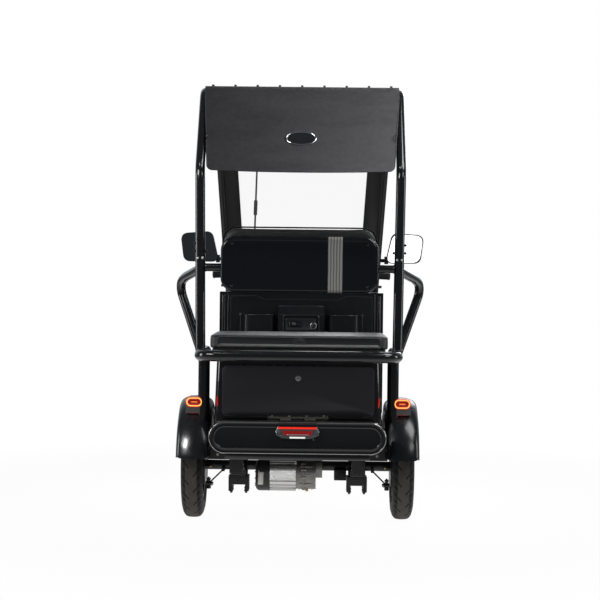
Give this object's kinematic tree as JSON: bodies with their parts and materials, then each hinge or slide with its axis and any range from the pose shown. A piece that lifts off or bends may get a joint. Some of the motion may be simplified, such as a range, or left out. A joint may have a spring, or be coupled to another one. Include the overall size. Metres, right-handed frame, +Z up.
{
  "type": "electric leisure tricycle with canopy",
  "caption": "Three-wheeled electric leisure vehicle with a canopy, bench seat, windscreen, grab bar, tail door and a rear axle drive.",
  "frame": {"origin": "on the ground, in the middle of the overall length and width", "axes": "+Y the way it drives, +X its right-hand side, +Z up"},
  "size_m": [1.0784, 1.8542, 1.7003],
  "materials": {
    "badge_chrome": "bright rim",
    "body_gloss_black": "gloss black",
    "frame_paint": "satin black powder coat",
    "gearbox_cast": "rough cast",
    "lamp_clear": "clear lens, bright reflector",
    "lamp_red": "clear red lens",
    "lock_metal": "satin",
    "motor_aluminium": "cast, satin",
    "rim_black": "satin black",
    "rubber_black": "ribbed",
    "screen_clear": "clear",
    "seat_vinyl": "grained vinyl",
    "trim_matt_black": "fine grain",
    "tube_gloss_black": "gloss black paint",
    "tyre": "satin, moulded tread"
  },
  "bodies": {
    "chassis": {"armrests": "tube_gloss_black", "backrest_cushion": "seat_vinyl", "backrest_shell": "body_gloss_black", "battery_pack": "trim_matt_black", "body_tub": "body_gloss_black", "brake_pedal": "trim_matt_black", "brake_plates": "frame_paint", "bumper": "body_gloss_black", "canopy_badge": "badge_chrome", "canopy_crossings": "tube_gloss_black", "canopy_panel": "trim_matt_black", "canopy_tubes": "tube_gloss_black", "centre_lamp": "lamp_red", "chassis_frame": "frame_paint", "console": "trim_matt_black", "crossbar": "tube_gloss_black", "dash_panel": "trim_matt_black", "dash_pockets": "trim_matt_black", "drive_motor": "motor_aluminium", "floor_mat": "rubber_black", "floor_pan": "trim_matt_black", "front_shield": "body_gloss_black", "gearbox": "gearbox_cast", "grab_bar": "tube_gloss_black", "head_frame": "frame_paint", "headlight": "lamp_clear", "key_switch": "lock_metal", "leaf_springs": "frame_paint", "lower_posts": "tube_gloss_black", "mirrors": "trim_matt_black", "motor_cap": "trim_matt_black", "rear_axle": "frame_paint", "rear_mudguards": "body_gloss_black", "seat_hinge": "trim_matt_black", "spring_clamps": "frame_paint", "tail_lamps": "lamp_red", "windscreen": "screen_clear", "windscreen_pillars": "tube_gloss_black", "wiper": "trim_matt_black"},
    "rear_wheel_left": {"rear_left_tyre": "tyre", "rear_left_rim": "rim_black"},
    "rear_wheel_right": {"rear_right_tyre": "tyre", "rear_right_rim": "rim_black"},
    "steering": {"front_fork": "tube_gloss_black", "front_mudguard": "body_gloss_black", "handlebar": "tube_gloss_black", "grips": "rubber_black", "brake_levers": "trim_matt_black", "instrument_pod": "trim_matt_black"},
    "front_wheel": {"front_tyre": "tyre", "front_rim": "rim_black"},
    "seat_lid": {"seat_cushion": "seat_vinyl", "seat_pan": "trim_matt_black"},
    "tail_door": {"tail_door": "body_gloss_black", "door_lock": "lock_metal"}
  },
  "joints": [
    {"name": "rear_left_spin", "type": "hinge", "parent": "chassis", "child": "rear_wheel_left", "pos_m": [-0.405, -0.57313, 0.205], "axis": [1, 0, 0], "continuous": true},
    {"name": "rear_right_spin", "type": "hinge", "parent": "chassis", "child": "rear_wheel_right", "pos_m": [0.405, -0.57313, 0.205], "axis": [1, 0, 0], "continuous": true},
    {"name": "steer", "type": "hinge", "parent": "chassis", "child": "steering", "pos_m": [0, 0.47071, 0.6], "axis": [0, -0.454, 0.891], "range_deg": [-35, 35]},
    {"name": "front_spin", "type": "hinge", "parent": "steering", "child": "front_wheel", "pos_m": [0, 0.71687, 0.205], "axis": [1, 0, 0], "continuous": true},
    {"name": "seat_lift", "type": "hinge", "parent": "chassis", "child": "seat_lid", "pos_m": [0, -0.26713, 0.652], "axis": [-1, 0, 0], "range_deg": [0, 80]},
    {"name": "door_drop", "type": "hinge", "parent": "chassis", "child": "tail_door", "pos_m": [0, -0.84113, 0.408], "axis": [1, 0, 0], "range_deg": [0, 90]}
  ]
}
